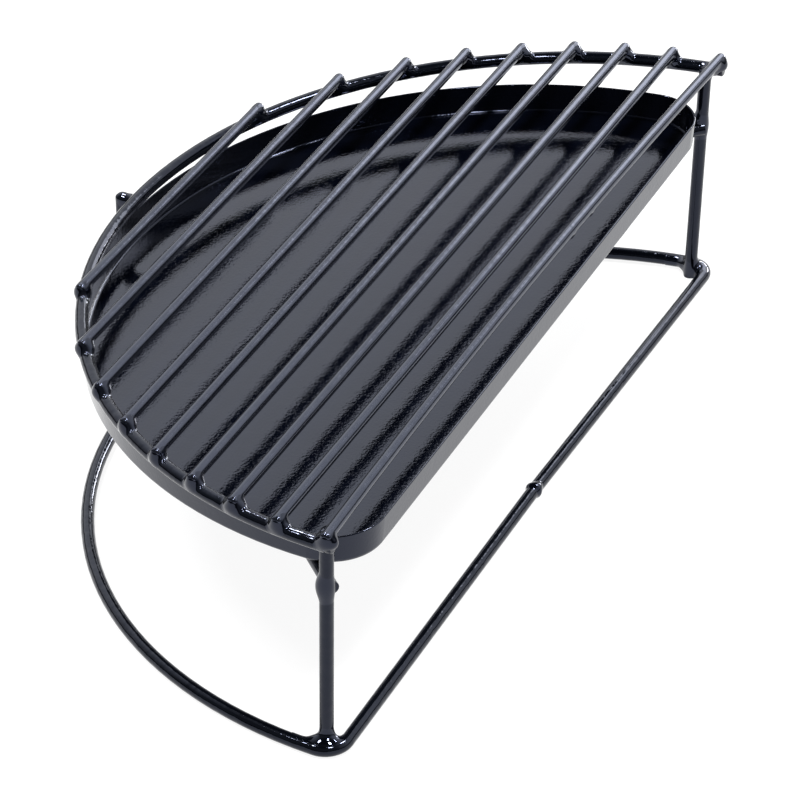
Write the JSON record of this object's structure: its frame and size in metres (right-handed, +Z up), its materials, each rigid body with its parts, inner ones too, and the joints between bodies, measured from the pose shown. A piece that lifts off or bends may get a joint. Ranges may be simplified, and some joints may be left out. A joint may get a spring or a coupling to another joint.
{
  "type": "half-moon grill rack with drip pan",
  "caption": "Half-moon raised wire cooking rack on three legs, with a slide-out half-moon drip pan under its bars.",
  "frame": {"origin": "on the floor, under the centre of the overall bounding box", "axes": "+X to the right along the cooking bars, +Y towards the rear leg and away from the straight open front, +Z up"},
  "size_m": [0.4224, 0.2157, 0.1176],
  "materials": {
    "frame_enamel": "gloss porcelain enamel",
    "bar_enamel": "gloss porcelain enamel",
    "weld_enamel": "gloss porcelain enamel over weld",
    "pan_enamel": "gloss porcelain enamel, fine orange peel"
  },
  "bodies": {
    "rack": {"base_ring": "frame_enamel", "base_ring_weld": "weld_enamel", "rim_arc": "frame_enamel", "front_left_leg": "frame_enamel", "front_right_leg": "frame_enamel", "rear_leg": "frame_enamel", "tray_support": "frame_enamel", "grill_bar_1": "bar_enamel", "grill_bar_2": "bar_enamel", "grill_bar_3": "bar_enamel", "grill_bar_4": "bar_enamel", "grill_bar_5": "bar_enamel", "grill_bar_6": "bar_enamel", "grill_bar_7": "bar_enamel", "grill_bar_8": "bar_enamel", "grill_bar_9": "bar_enamel", "bar_weld_beads": "weld_enamel", "foot_welds": "weld_enamel", "leg_top_welds": "weld_enamel", "support_welds": "weld_enamel"},
    "drip_pan": {"drip_pan": "pan_enamel"}
  },
  "joints": [
    {"name": "pan_slide", "type": "slide", "parent": "rack", "child": "drip_pan", "axis": [0, -1, 0], "range_m": [0, 0.23]}
  ]
}
